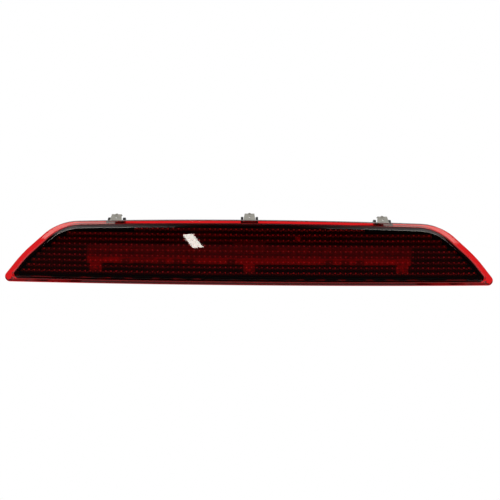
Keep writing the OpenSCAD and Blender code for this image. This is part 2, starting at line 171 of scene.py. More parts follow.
def loft(name: str, rings: Sequence[Sequence[Point]]) -> Piece:
    """Extrudes a circle from ring to ring.

    Args:
        name: the name of the piece.
        rings: loops of points, all with the same count.

    Returns:
        An open tube through the rings.
    """
    deselect()
    bpy.ops.mesh.primitive_circle_add(vertices=len(rings[0]), radius=1, fill_type="NOTHING")
    obj = christen(name)
    for vertex, point in zip(obj.data.vertices, rings[0]):
        vertex.co = point
    bpy.ops.object.mode_set(mode="EDIT")
    bpy.ops.mesh.select_mode(type="EDGE")
    bpy.ops.mesh.select_all(action="SELECT")
    for before, after in zip(rings, rings[1:]):
        bpy.ops.mesh.extrude_region_move()
        tree = finder(before)
        mesh = bmesh.from_edit_mesh(obj.data)
        for vertex in mesh.verts:
            if vertex.select:
                vertex.co = after[tree.find(vertex.co)[1]]
        bmesh.update_edit_mesh(obj.data)
    bpy.ops.object.mode_set(mode="OBJECT")
    return obj


def close(obj: Piece) -> None:
    """Fills the open ends of obj and turns its faces outwards.

    Args:
        obj: the open mesh object.
    """
    focus(obj)
    bpy.ops.object.mode_set(mode="EDIT")
    bpy.ops.mesh.select_all(action="SELECT")
    bpy.ops.mesh.fill_holes(sides=0)
    bpy.ops.mesh.normals_make_consistent(inside=False)
    bpy.ops.object.mode_set(mode="OBJECT")


def smooth(obj: Piece, degrees: float) -> None:
    """Shades obj smooth, with edges sharper than an angle kept crisp."""
    focus(obj)
    bpy.ops.object.shade_smooth_by_angle(angle=math.radians(degrees))


def joined(name: str, parts: Sequence[Piece]) -> Piece:
    """Joins several objects into one.

    Args:
        name: the name of the joined piece.
        parts: the objects, of which the first one takes the others in.

    Returns:
        The joined object.
    """
    focus(parts[0])
    for part in parts[1:]:
        part.select_set(True)
    bpy.ops.object.join()
    return christen(name)


def repeat(obj: Piece, step: float, count: int) -> None:
    """Makes obj a row of copies along X, in one mesh.

    Args:
        obj: the mesh object, which is the first in the row.
        step: the distance from copy to copy, in millimetres.
        count: how many there are in the row.
    """
    array = obj.modifiers.new("row", "ARRAY")
    array.use_relative_offset = False
    array.use_constant_offset = True
    array.constant_offset_displace = (step * MM, 0, 0)
    array.count = count
    apply_modifiers(obj)


# ------------------------------------------------------------------ finishes


class Graph:
    """Node tree of one material round a Principled shader, on Object coordinates."""

    def __init__(self, name: str) -> None:
        """Makes the material, its shader and its output.

        Args:
            name: the material's name.
        """
        self.material = bpy.data.materials.new(name)
        self.material.use_nodes = True
        self.tree = self.material.node_tree
        self.tree.nodes.clear()
        self.shader = self.add("ShaderNodeBsdfPrincipled")
        self.output = self.add("ShaderNodeOutputMaterial")
        self.join(self.shader.outputs["BSDF"], self.output.inputs["Surface"])
        self.place = self.add("ShaderNodeTexCoord").outputs["Object"]

    def add(self, kind: str, **values: object) -> bpy.types.Node:
        """Adds a node.

        Args:
            kind: the node's type name.
            values: its input values, by socket name with _ for a space.

        Returns:
            The node.
        """
        node = self.tree.nodes.new(kind)
        for socket, value in values.items():
            node.inputs[socket.replace("_", " ")].default_value = value
        return node

    def join(self, start: Socket, end: Socket) -> None:
        """Links two sockets."""
        self.tree.links.new(start, end)

    def set(self, **values: object) -> None:
        """Sets values on the shader's own sockets, by socket name with _ for a space."""
        for socket, value in values.items():
            self.shader.inputs[socket.replace("_", " ")].default_value = value

    def stretched(self, scale: Point) -> Socket:
        """Object coordinates with each axis scaled, for patterns with a direction.

        Args:
            scale: what each axis is multiplied by.

        Returns:
            The scaled coordinates.
        """
        node = self.add("ShaderNodeMapping")
        node.inputs["Scale"].default_value = scale
        self.join(self.place, node.inputs["Vector"])
        return node.outputs["Vector"]

    def noise(self, size: float, detail: float = 2.0, along: Point | None = None) -> Socket:
        """Noise of a given grain.

        Args:
            size: the grain in millimetres.
            detail: how many finer layers it has.
            along: scale of each axis, where the grain has a direction.

        Returns:
            The noise's factor.
        """
        node = self.add("ShaderNodeTexNoise", Scale=1 / (size * MM), Detail=detail)
        self.join(self.stretched(along) if along else self.place, node.inputs["Vector"])
        return node.outputs["Fac"]

    def cells(self, size: float) -> Socket:
        """Distance to the nearest of scattered points, size millimetres apart.

        Args:
            size: how far the points are apart.

        Returns:
            The distance.
        """
        node = self.add("ShaderNodeTexVoronoi", Scale=1 / (size * MM))
        self.join(self.place, node.inputs["Vector"])
        return node.outputs["Distance"]

    def tint(self, factor: Socket, low: Colour, high: Colour) -> None:
        """Runs the base colour from low to high with a factor.

        Args:
            factor: the noise that it follows.
            low: the colour where the noise is low.
            high: the colour where it is high.
        """
        node = self.add("ShaderNodeValToRGB")
        for stop, position, colour in zip(node.color_ramp.elements, NOISE_BAND, (low, high)):
            stop.position = position
            stop.color = (*colour, 1)
        self.join(factor, node.inputs["Fac"])
        self.join(node.outputs["Color"], self.shader.inputs["Base Color"])

    def span(self, factor: Socket, low: float, high: float) -> Socket:
        """Maps the middle of a factor's run to low to high.

        Args:
            factor: the noise to map.
            low: what its low values become.
            high: what its high values become.

        Returns:
            The mapped factor.
        """
        start, end = NOISE_BAND
        node = self.add(
            "ShaderNodeMapRange", From_Min=start, From_Max=end, To_Min=low, To_Max=high
        )
        self.join(factor, node.inputs["Value"])
        return node.outputs["Result"]

    def open_to_lamps(self, tint: Colour) -> None:
        """Lets the light of lamps straight through, with a tint, to what is behind.

        Args:
            tint: the colour that the light takes on.
        """
        clear = self.add("ShaderNodeBsdfTransparent", Color=(*tint, 1))
        mix = self.add("ShaderNodeMixShader")
        rays = self.add("ShaderNodeLightPath")
        self.join(rays.outputs["Is Shadow Ray"], mix.inputs["Fac"])
        self.join(self.shader.outputs["BSDF"], mix.inputs[1])
        self.join(clear.outputs["BSDF"], mix.inputs[2])
        self.join(mix.outputs["Shader"], self.output.inputs["Surface"])

    def relief(self, factor: Socket, depth: float, strength: float = 1.0) -> None:
        """Bumps the surface by a factor, depth millimetres high, over any earlier bump.

        Args:
            factor: the pattern of the bump.
            depth: its height.
            strength: how much of it shows.
        """
        node = self.add("ShaderNodeBump", Distance=depth * MM, Strength=strength)
        self.join(factor, node.inputs["Height"])
        normal = self.shader.inputs["Normal"]
        if normal.is_linked:
            self.join(normal.links[0].from_socket, node.inputs["Normal"])
        self.join(node.outputs["Normal"], normal)


def shade(colour: Colour, share: float) -> Colour:
    """A colour made darker or lighter.

    Args:
        colour: the colour to change.
        share: what its three parts are multiplied by.

    Returns:
        The new colour.
    """
    return tuple(part * share for part in colour)


@dataclass(frozen=True)
class Finish:
    """A surface: its colour, how it varies, its gloss and its grain."""

    name: str
    colour: Colour
    vary: float = 0.08
    rough: tuple[float, float] = (0.4, 0.55)
    grain: float = 0.6
    depth: float = 0.03
    metallic: float = 0.0
    mirror: float = 0.5

    def make(self) -> bpy.types.Material:
        """Builds the material.

        Returns:
            The material, made once and used again after that.
        """
        name = f"{self.name}_finish"
        known = bpy.data.materials.get(name)
        if known:
            return known
        graph = Graph(name)
        graph.set(Metallic=self.metallic, Specular_IOR_Level=self.mirror)
        mottle = graph.noise(self.grain * MOTTLE, detail=4)
        graph.tint(mottle, shade(self.colour, 1 - self.vary), shade(self.colour, 1 + self.vary))
        wear = graph.noise(self.grain * WEAR, detail=3)
        graph.join(graph.span(wear, *self.rough), graph.shader.inputs["Roughness"])
        self.surface(graph)
        return graph.material

    def surface(self, graph: Graph) -> None:
        """Adds the grain of a moulded surface."""
        graph.relief(graph.noise(self.grain), self.depth, strength=0.6)


@dataclass(frozen=True)
class ClearFinish(Finish):
    """Clear coloured plastic with a polished skin."""

    through: float = 1.0
    index: float = 1.49
    lets_lamps_in: bool = False

    def surface(self, graph: Graph) -> None:
        """Lets light through and leaves a trace of flow marks.

        Args:
            graph: the material's nodes.
        """
        graph.set(Transmission_Weight=self.through, IOR=self.index)
        graph.relief(graph.noise(self.grain * FLOW, detail=1), self.depth, strength=0.2)
        if self.lets_lamps_in:
            graph.open_to_lamps(tuple(math.sqrt(part) for part in self.colour))


@dataclass(frozen=True)
class FoamFinish(Finish):
    """Closed-cell foam, with small cells between the large ones."""

    small: float = 0.37
    shallow: float = 0.4

    def surface(self, graph: Graph) -> None:
        """Adds cells of two sizes.

        Args:
            graph: the material's nodes.
        """
        graph.relief(graph.cells(self.grain), self.depth, strength=0.9)
        between = graph.cells(self.grain * self.small)
        graph.relief(between, self.depth * self.shallow, strength=0.6)


@dataclass(frozen=True)
class StreakFinish(Finish):
    """Rolled or drawn metal, with fine streaks along one axis."""

    along: Point = (1.0, 0.12, 1.0)

    def surface(self, graph: Graph) -> None:
        """Adds the streaks and a fine speckle.

        Args:
            graph: the material's nodes.
        """
        streaks = graph.noise(self.grain, detail=3, along=self.along)
        graph.relief(streaks, self.depth, strength=0.4)
        speckle = graph.noise(self.grain / 2, detail=1)
        graph.relief(speckle, self.depth / 2, strength=0.3)


@dataclass(frozen=True)
class BoardFinish(Finish):
    """White solder mask with buried tracks along the board."""

    pitch: float = 2.2
    along: Point = (0.2, 1.0, 1.0)
    bend: float = 1.5
    level: float = -4.6
    blur: float = 0.3
    pale: Colour = (0.33, 0.33, 0.314)

    def surface(self, graph: Graph) -> None:
        """Raises the tracks under the mask and leaves a paler strip along the lower edge.

        Args:
            graph: the material's nodes.
        """
        axes = graph.add("ShaderNodeSeparateXYZ")
        graph.join(graph.place, axes.inputs["Vector"])
        start, end = (self.level - self.blur) * MM, self.level * MM
        step = graph.add("ShaderNodeMapRange", From_Min=start, From_Max=end)
        graph.join(axes.outputs["Z"], step.inputs["Value"])
        mix = graph.add("ShaderNodeMix")
        mix.data_type = "RGBA"
        graph.join(step.outputs["Result"], mix.inputs["Factor"])
        # the sockets for colours share their names with others, so they go by number
        below, above, result = mix.inputs[6], mix.inputs[7], mix.outputs[2]
        below.default_value = (*self.pale, 1)
        base = graph.shader.inputs["Base Color"]
        graph.join(base.links[0].from_socket, above)
        graph.join(result, base)
        scale = WAVE / (self.pitch * MM)
        wave = graph.add("ShaderNodeTexWave", Scale=scale, Distortion=self.bend)
        wave.bands_direction = "Z"
        graph.join(graph.stretched(self.along), wave.inputs["Vector"])
        graph.relief(wave.outputs["Fac"], self.depth, strength=0.7)


class Stuff(Enum):
    """The finishes on this lamp."""

    RED_LENS = ClearFinish(
        "red_lens",
        (0.62, 0.012, 0.014),
        vary=0.02,
        rough=(0.012, 0.03),
        grain=2.0,
        depth=0.0005,
        lets_lamps_in=True,
    )
    RED_PILLOWS = ClearFinish(
        "red_pillows",
        (0.62, 0.012, 0.014),
        vary=0.02,
        rough=(0.28, 0.3),
        grain=2.0,
        depth=0.004,
        index=1.04,
        lets_lamps_in=True,
    )
    # painted highlight: a pale matt dot on each pillow, standing in for the glint of the lamps on
    # its dome
    RED_DOTS = Finish(
        "red_highlight_dots", (0.95, 0.62, 0.62), vary=0.1, rough=(0.45, 0.6), grain=0.4, mirror=0.0
    )
    # painted highlight: faint matt specks at both sides of each pillow, standing in for the
    # fainter glints
    RED_SPECKS = Finish(
        "red_highlight_specks", (0.2, 0.13, 0.13), vary=0.1, rough=(0.45, 0.6), grain=0.4, mirror=0.0
    )
    BLACK_PLASTIC = Finish(
        "black_plastic", (0.017, 0.017, 0.019), vary=0.15, rough=(0.38, 0.56), grain=0.5
    )
    # matt black, darker than the black plastic: painted shade on the inside of the tray
    BLACK_MATT = Finish(
        "black_matt_shaded", (0.004, 0.004, 0.0044), rough=(0.7, 0.85), grain=0.5, mirror=0.05
    )
    SOCKET_PLASTIC = Finish(
        "socket_plastic", (0.03, 0.031, 0.035), vary=0.12, rough=(0.32, 0.48), grain=0.35
    )
    FOAM = FoamFinish(
        "foam", (0.045, 0.045, 0.047), vary=0.3, rough=(0.85, 0.97), grain=0.9, depth=0.35
    )
    VENT_FILM = Finish(
        "vent_film", (0.78, 0.78, 0.75), vary=0.04, rough=(0.6, 0.8), grain=0.25, depth=0.05
    )
    SEAL_RUBBER = Finish(
        "seal_rubber", (0.5, 0.16, 0.03), vary=0.08, rough=(0.4, 0.55), grain=0.5, depth=0.02
    )
    TERMINAL_BRASS = StreakFinish(
        "terminal_brass",
        (0.74, 0.69, 0.56),
        vary=0.08,
        rough=(0.2, 0.38),
        grain=0.3,
        depth=0.01,
        metallic=1.0,
    )
    BOARD_WHITE = BoardFinish(
        "board_white", (0.088, 0.088, 0.081), vary=0.25, rough=(0.3, 0.45), grain=0.6, depth=0.06
    )
    LED_EPOXY = ClearFinish(
        "led_epoxy",
        (0.16, 0.02, 0.016),
        vary=0.06,
        rough=(0.08, 0.2),
        grain=0.4,
        depth=0.01,
        through=0.35,
        index=1.53,
    )
    CHIP_BLACK = Finish(
        "chip_black", (0.028, 0.028, 0.03), vary=0.2, rough=(0.4, 0.6), grain=0.2, depth=0.02
    )
    CHIP_PALE = Finish(
        "chip_pale", (0.43, 0.43, 0.4), vary=0.1, rough=(0.4, 0.6), grain=0.25, depth=0.02
    )
    CHIP_TAN = Finish(
        "chip_tan", (0.2, 0.165, 0.117), vary=0.12, rough=(0.35, 0.5), grain=0.25, depth=0.02
    )
    TIN = Finish(
        "tin", (0.72, 0.72, 0.7), vary=0.1, rough=(0.25, 0.5), grain=0.3, metallic=1.0
    )
    ZINC_STEEL = StreakFinish(
        "zinc_steel",
        (0.62, 0.63, 0.64),
        vary=0.1,
        rough=(0.25, 0.42),
        grain=0.3,
        depth=0.015,
        metallic=1.0,
    )
    SPRING_STEEL = StreakFinish(
        "spring_steel",
        (0.308, 0.302, 0.27),
        vary=0.08,
        rough=(0.5, 0.66),
        grain=0.35,
        depth=0.02,
        metallic=0.2,
    )


def dress(obj: Piece, *stuff: Stuff) -> None:
    """Gives obj its finishes, one material slot each.

    Args:
        obj: the mesh object.
        stuff: its finishes, in the order of its slots.
    """
    obj.data.materials.clear()
    for one in stuff:
        obj.data.materials.append(one.value.make())


# ------------------------------------------------------------------ pieces


@dataclass
class Lamp:
    """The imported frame, and how a piece takes its place on it."""

    frame: dict
    # in a copy: how close points become one, how flat faces do, how sharp an edge is rounded
    merge: float = 0.002
    level: float = 0.6
    crisp: float = 35.0

    def keep(self, node: str, stuff: Stuff) -> None:
        """Dresses a CAD node that stays as it is."""
        dress(self.frame["nodes"][node], stuff)
        LOG.info("%s stays as it is", node)

    def fit(self, piece: Piece, body: str, slot: str, *nodes: str) -> None:
        """Lets a piece stand for CAD nodes and move with their body.

        Args:
            piece: the finished piece, in its place.
            body: the body that it moves with.
            slot: the record's material slot; not used.
            nodes: the CAD nodes that it replaces.
        """
        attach(piece, body)
        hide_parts(*nodes)
        LOG.info("%s stands for %s on %s", piece.name, ", ".join(nodes), body)

    def eased(self, node: str, name: str, width: float, steps: int) -> Piece:
        """Copies a CAD node and rounds its edges.

        Args:
            node: the node to copy.
            name: the name of the new piece.
            width: how far in from the edge the rounding reaches, in millimetres.
            steps: how many faces round an edge.

        Returns:
            The new piece, at the origin.
        """
        focus(self.frame["nodes"][node])
        bpy.ops.object.duplicate(linked=False)
        obj = christen(name)
        obj.parent = None
        for key in list(obj.keys()):
            del obj[key]
        bpy.ops.mesh.customdata_custom_splitnormals_clear()
        bpy.ops.object.mode_set(mode="EDIT")
        bpy.ops.mesh.select_all(action="SELECT")
        bpy.ops.mesh.remove_doubles(threshold=self.merge * MM)
        bpy.ops.mesh.dissolve_limited(angle_limit=math.radians(self.level))
        bpy.ops.object.mode_set(mode="OBJECT")
        bevel = obj.modifiers.new("ease", "BEVEL")
        bevel.width = width * MM
        bevel.segments = steps
        bevel.limit_method = "ANGLE"
        bevel.angle_limit = math.radians(self.crisp)
        apply_modifiers(obj)
        smooth(obj, self.crisp)
        return obj

    def remade(
        self,
        node: str,
        name: str,
        width: float,
        *stuff: Stuff,
        body: str = "lamp",
        steps: int = 2,
    ) -> Piece:
        """Puts an eased and dressed copy in the place of a CAD node.

        Args:
            node: the node to replace.
            name: the name of the new piece.
            width: how far in from the edge the rounding reaches, in millimetres.
            stuff: its finishes, of which the first one has the name of the record's slot.
            body: the body that it moves with.
            steps: how many faces round an edge.

        Returns:
            The new piece.
        """
        obj = self.eased(node, name, width, steps)
        dress(obj, *stuff)
        self.fit(obj, body, stuff[0].value.name, node)
        return obj


@dataclass
class Outline:
    """Outline of the lens: crowned top edge, shoulders, slanted ends with a knee, round tips."""

    width: float = 400.0
    height: float = 52.8
    low_angle: float = 50.8
    high_angle: float = 41.2
    knee_height: float = 23.6
    # the knee gets sharper with the inset, down to its least share near the inset knee_fade
    knee_radius: float = 115.0
    knee_fade: float = 9.0
    knee_least: float = 0.1
    shoulder_radius: float = 44.0
    top_slope: float = 1.9
    # where the crown's arc ends, as a share of the way to the shoulder
    crown_share: float = 0.985
    tip_radius: float = 4.1
    inner_radius: float = 2.5
    # thickness of the skirt, and how many times that it is along the slanted ends
    skirt: float = 3.2
    end_share: float = 1.5
    # width of the rim, and its width along the slanted ends
    rim: float = 2.5
    end_rim: float = 3.8
    crown_steps: int = 24
    shoulder_steps: int = 12
    knee_steps: int = 5
    tip_steps: int = 8
    side_turns: tuple[float, ...] = (0, 12, 25, 38)

    def __post_init__(self) -> None:
        """Works out the four edges of the right half from the sizes."""
        self.top = math.radians(self.top_slope)
        self.high = math.radians(self.high_angle)
        self.low = math.radians(self.low_angle)
        tip = self.width / 2 + self.tip_radius * (1 / math.tan(self.low / 2) - 1)
        knee = tip - self.knee_height / math.tan(self.low)
        self.low_edge = math.sin(self.low) * tip - math.cos(self.low) * self.height / 2
        self.high_edge = math.sin(self.high) * knee + math.cos(self.high) * (
            self.knee_height - self.height / 2
        )
        run = self.shoulder_radius * math.tan((self.high - self.top) / 2)
        length = knee - (self.height - self.knee_height) / math.tan(self.high) - run
        self.crown_radius = self.crown_share * length / math.tan(self.top)
        rise = self.height / 2 + self.crown_radius * (1 / math.cos(self.top) - 1)
        self.top_edge = rise * math.cos(self.top)

    @staticmethod
    def corner(a: float, at_a: float, b: float, at_b: float, radius: float) -> Flat:
        """Centre of the arc that rounds the corner of two edges.

        Args:
            a: angle of the first edge's normal from +Z.
            at_a: distance of the first edge from the middle.
            b: angle of the second edge's normal.
            at_b: distance of the second edge.
            radius: the arc's radius.

        Returns:
            The centre, as x and z.
        """
        turn = math.sin(a - b)
        x = (at_a * math.cos(b) - at_b * math.cos(a)) / turn
        z = (math.sin(a) * at_b - math.sin(b) * at_a) / turn
        back = radius / math.cos((b - a) / 2)
        half = (a + b) / 2
        return x - back * math.sin(half), z - back * math.cos(half)

    @staticmethod
    def arc(centre: Flat, radius: float, start: float, end: float, steps: int) -> list[Flat]:
        """Points of an arc, by the angles of its normals.

        Args:
            centre: the arc's centre.
            radius: its radius.
            start: angle of the first normal from +Z.
            end: angle of the last normal.
            steps: how many steps it has.

        Returns:
            The points, one more than the steps.
        """
        turns = [start + (end - start) * i / steps for i in range(steps + 1)]
        return [
            (centre[0] + radius * math.sin(t), centre[1] + radius * math.cos(t)) for t in turns
        ]

    def half(self, inset: float) -> list[Point]:
        """Right half of the outline, moved in, and further along the slanted ends.

        Args:
            inset: how far it is moved in, in millimetres.

        Returns:
            x, upper z and lower z from the middle to the tip.
        """
        bottom = -self.height / 2 + inset
        wide = self.skirt * self.end_share
        further = inset + wide - self.skirt
        if inset < self.rim:
            further = inset * self.end_rim / self.rim
        elif inset < self.skirt:
            share = (inset - self.rim) / (self.skirt - self.rim)
            further = self.end_rim + share * (wide - self.end_rim)
        top, high, low = self.top_edge - inset, self.high_edge - further, self.low_edge - further
        crown_r = self.crown_radius - inset
        crown = (0.0, (top - crown_r) / math.cos(self.top))
        shoulder_r = self.shoulder_radius - inset
        shoulder = self.corner(self.top, top, self.high, high, shoulder_r)
        knee_r = self.knee_radius * max(self.knee_least, 1 - inset / self.knee_fade)
        knee = self.corner(self.high, high, self.low, low, knee_r)
        tip_r = max(self.tip_radius - inset, self.inner_radius)
        tip = self.corner(self.low, low, math.pi, -bottom, tip_r)
        side = []
        for turn in self.side_turns:
            x = tip[0] + tip_r * math.sin(math.radians(turn))
            side.append((x, (low - math.sin(self.low) * x) / math.cos(self.low)))
        upper = [
            *self.arc(crown, crown_r, 0, self.top, self.crown_steps),
            *self.arc(shoulder, shoulder_r, self.top, self.high, self.shoulder_steps),
            *self.arc(knee, knee_r, self.high, self.low, self.knee_steps),
            *side,
            *self.arc(tip, tip_r, self.low, math.pi / 2, self.tip_steps),
        ]
        points = []
        for x, z in upper:
            fall = max(0.0, tip_r**2 - max(0.0, x - tip[0]) ** 2)
            points.append((x, z, bottom if x <= tip[0] else tip[1] - math.sqrt(fall)))
        return points

    def stations(self, inset: float) -> list[Point]:
        """The whole outline, moved in, from tip to tip.

        Args:
            inset: how far the outline is moved in, in millimetres.

        Returns:
            x, upper z and lower z from the left tip to the right tip.
        """
        right = self.half(inset)
        left = [(-x, upper, lower) for x, upper, lower in right[:0:-1]]
        return left + right

    def loop(self, inset: float) -> list[Flat]:
        """Closed outline: along the top to the right and back along the bottom.

        Args:
            inset: how far the outline is moved in, in millimetres.

        Returns:
            x and z of its points.
        """
        stations = self.stations(inset)
        top = [(x, upper) for x, upper, _ in stations]
        return top + [(x, lower) for x, _, lower in stations[-2:0:-1]]

    def limits(self, x: float, inset: float) -> Flat:
        """Upper and lower z of the outline at x.

        Args:
            x: the place along the lens.
            inset: how far the outline is moved in.

        Returns:
            The upper and the lower z.
        """
        points = self.half(inset)
        x = min(abs(x), points[-1][0])
        for a, b in zip(points, points[1:]):
            if x <= b[0]:
                t = (x - a[0]) / max(b[0] - a[0], TINY)
                return a[1] + t * (b[1] - a[1]), a[2] + t * (b[2] - a[2])
        return points[-1][1], points[-1][2]

    def reach(self, z: float, inset: float) -> float:
        """Half width of the outline at a height.

        Args:
            z: the height.
            inset: how far the outline is moved in, in millimetres.

        Returns:
            The x of its right edge there.
        """
        points = self.half(inset)
        for a, b in zip(points, points[1:]):
            if b[1] < z:
                return a[0] + (b[0] - a[0]) * (a[1] - z) / (a[1] - b[1])
        return points[-1][0]


@dataclass
class Lens:
    """Red lens cap: bowed raised front, sloping rim, thick skirt and pillow optics inside, with
    painted highlights on the pillows.
    """

    outline: Outline = field(default_factory=Outline)
    bow_radius: float = 1600.0
    skirt_depth: float = 9.0
    wall: float = 2.8
    crown: float = 0.7
    back_gap: float = 3.0
    # edge of the raised front: its drop to the rim, and its tilt at its inner and outer end
    edge_drop: float = 2.0
    edge_turn: Flat = (3.9, 60.0)
    edge_steps: int = 12
    # rounded outer edge of the rim: its width and its depth
    rim_edge: Flat = (0.6, 0.9)
    rim_turns: tuple[int, ...] = (90, 75, 60, 45, 30, 15, 0)
    # slope of the rim, and the most that it falls
    rim_slope: float = 0.15
    rim_fall: float = 0.7
    # share of the slope in the middle, and between which x it runs to the whole slope
    top_slope: float = -0.11
    level_top: Flat = (85.0, 118.0)
    bottom_slope: float = 1.65
    level_bottom: Flat = (185.0, 198.0)
    # strips along the corners, which keep the shading of a land flat
    hold: float = 0.1
    lip: float = 0.45
    lip_turns: tuple[int, ...] = (0, 30, 60, 90)
    # corner between skirt and wall inside: how far past the skirt and past the wall
    root: tuple[Flat, ...] = (
        (0.1, 1.8),
        (0.25, 1.1),
        (0.55, 0.6),
        (1.0, 0.3),
        (1.6, 0.12),
        (2.2, 0.05),
    )
    cap_rows: int = 14
    pillow_width: float = 4.22
    pillow_height: float = 4.38
    pillow_rise: float = 0.9
    pillow_valley: float = 0.12
    pillow_foot: float = 0.4
    pillow_shift: float = 0.6
    pillow_cuts: int = 5
    merge: float = 0.01
    field_inset: float = 5.0
    # what counts as a pillow's face: margin round the field, depth past the wall, turn to the back
    field_margin: float = 1.0
    face_depth: float = 0.06
    face_turn: float = 0.5
    # painted highlights on a pillow, a pale dot over the middle and faint specks at both sides, in
    # half pillows from its middle
    highlight_half: float = 0.1
    highlight_rise: float = 0.4
    highlight_side: float = 0.8
    crisp: float = 30.0
    finishes: tuple[Stuff, ...] = (
        Stuff.RED_LENS,
        Stuff.RED_PILLOWS,
        Stuff.RED_DOTS,
        Stuff.RED_SPECKS,
    )

    def bow(self, x: float) -> float:
        """How far the bow sweeps back at x."""
        return self.bow_radius - math.sqrt(self.bow_radius**2 - x * x)

    def front(self) -> float:
        """Y of the front of the lens at its middle."""
        return -(self.bow(self.outline.width / 2) + self.skirt_depth + self.back_gap)

    def profile(self) -> list[Point]:
        """Section through the rim, from the front over the skirt to the inside.

        Returns:
            Inset, depth, and how much of the rim's slope each step has.
        """
        front = []
        first, last = (math.radians(turn) for turn in self.edge_turn)
        radius = self.edge_drop / (math.cos(first) - math.cos(last))
        for step in range(self.edge_steps + 1):
            t = first + (last - first) * step / self.edge_steps
            run = radius * (math.sin(last) - math.sin(t))
            fall = radius * (math.cos(first) - math.cos(t))
            front.append((self.outline.rim + run, fall, 0.0))
        run, fall = self.rim_edge
        flat = self.outline.rim - run
        front.append((self.outline.rim - self.hold, self.edge_drop, self.hold / flat))
        front.append((run + self.hold, self.edge_drop, 1 - self.hold / flat))
        for turn in self.rim_turns:
            t = math.radians(turn)
            down = self.edge_drop + fall * (1 - math.sin(t))
            front.append((run * (1 - math.cos(t)), down, math.sin(t)))
        back = []
        for turn in self.lip_turns:
            t = math.radians(turn)
            rise = self.lip * (1 - math.sin(t))
            back.append((self.lip * (1 - math.cos(t)), self.skirt_depth - rise, 0.0))
        back.append((self.lip + self.hold, self.skirt_depth, 0.0))
        land = [(self.outline.skirt - inset, depth, 0.0) for inset, depth, _ in reversed(back)]
        inside = [(self.outline.skirt + i, self.wall + d, 0.0) for i, d in self.root]
        return front + back + land + inside

    def ring(self, inset: float, depth: float, slope: float = 0.0) -> list[Point]:
        """The outline moved in, at a depth behind the flat front.

        Args:
            inset: how far it is moved in, in millimetres.
            depth: how far behind the front it is.
            slope: how much of the fall over the whole rim it has.

        Returns:
            The points in metres.
        """
        inner, outer = self.outline.loop(self.outline.rim), self.outline.loop(self.rim_edge[0])
        upper = len(self.outline.stations(inset))
        points = []
        for number, (x, z) in enumerate(self.outline.loop(inset)):
            width = math.dist(inner[number], outer[number])
            near, far = self.level_top if number < upper else self.level_bottom
            middle = self.top_slope if number < upper else self.bottom_slope
            share = min(1.0, max(0.0, (abs(x) - near) / (far - near)))
            steep = (middle + (1 - middle) * share) * self.rim_slope
            fall = min(width * steep, self.rim_fall) * slope
            points.append((x * MM, (depth + fall) * MM, z * MM))
        return points

    def cap(self, obj: Piece, inset: float, depth: float) -> None:
        """Closes one end of the shell with columns from the top edge to the bottom edge.

        Args:
            obj: the open shell.
            inset: inset of the ring at that end.
            depth: depth of that ring.
        """
        ring = self.ring(inset, depth)
        count = len(self.outline.stations(inset))
        tree = finder(ring)
        chains = (range(1, count - 1), range(count, len(ring)))
        focus(obj)
        bpy.ops.object.mode_set(mode="EDIT")
        bpy.ops.mesh.select_mode(type="EDGE")
        bpy.ops.mesh.select_all(action="DESELECT")
        mesh = bmesh.from_edit_mesh(obj.data)
        for edge in mesh.edges:
            found = [tree.find(v.co) for v in edge.verts]
            if all(distance < SAME_POINT for _, _, distance in found):
                numbers = [number for _, number, _ in found]
                edge.select_set(any(all(n in chain for n in numbers) for chain in chains))
        bmesh.update_edit_mesh(obj.data)
        bpy.ops.mesh.bridge_edge_loops(number_cuts=self.cap_rows - 1, interpolation="LINEAR")
        bpy.ops.object.mode_set(mode="OBJECT")

    def shell(self) -> Piece:
        """Builds the cap without its optics, with a flat bow.

        Returns:
            The closed shell, its depth counted from the front.
        """
        profile = self.profile()
        obj = loft("lens_moulded", [self.ring(*step) for step in profile])
        self.cap(obj, *profile[0][:2])
        self.cap(obj, *profile[-1][:2])
        close(obj)
        inset = profile[0][0]
        upper, lower = self.outline.limits(0, inset)
        bulge = 4 * self.crown / (upper - lower) ** 2

        def crowned(place: Vector) -> Vector:
            """Bulges the front between its upper and its lower edge.

            Args:
                place: a vertex of the shell.

            Returns:
                Its new place.
            """
            if abs(place.y) < TINY:
                high, low = self.outline.limits(place.x / MM, inset)
                z = place.z / MM
                place.y -= max(0.0, bulge * (high - z) * (z - low)) * MM
            return place

        move_points(obj, crowned)
        return obj

    def pillows(self) -> Piece:
        """Builds the field of pillows as one closed block with a flat foot.

        Returns:
            The block, its depth counted from the front.
        """
        tip = (self.wall + self.pillow_rise) * MM
        fall = (self.pillow_rise - self.pillow_valley) / 2 * MM
        foot = (self.wall - self.pillow_foot) * MM
        deselect()
        bpy.ops.mesh.primitive_grid_add(
            x_subdivisions=self.pillow_cuts,
            y_subdivisions=self.pillow_cuts,
            size=2,
            rotation=(math.pi / 2, 0, 0),
        )
        pillow = christen("pillow")
        settle(pillow)
        half_w, half_h = self.pillow_width / 2 * MM, self.pillow_height / 2 * MM

        def domed(place: Vector) -> Vector:
            """Makes the flat grid a dome of one pillow's size."""
            u, v = place.x, place.z
            return Vector((u * half_w, tip - fall * (u * u + v * v), v * half_h))

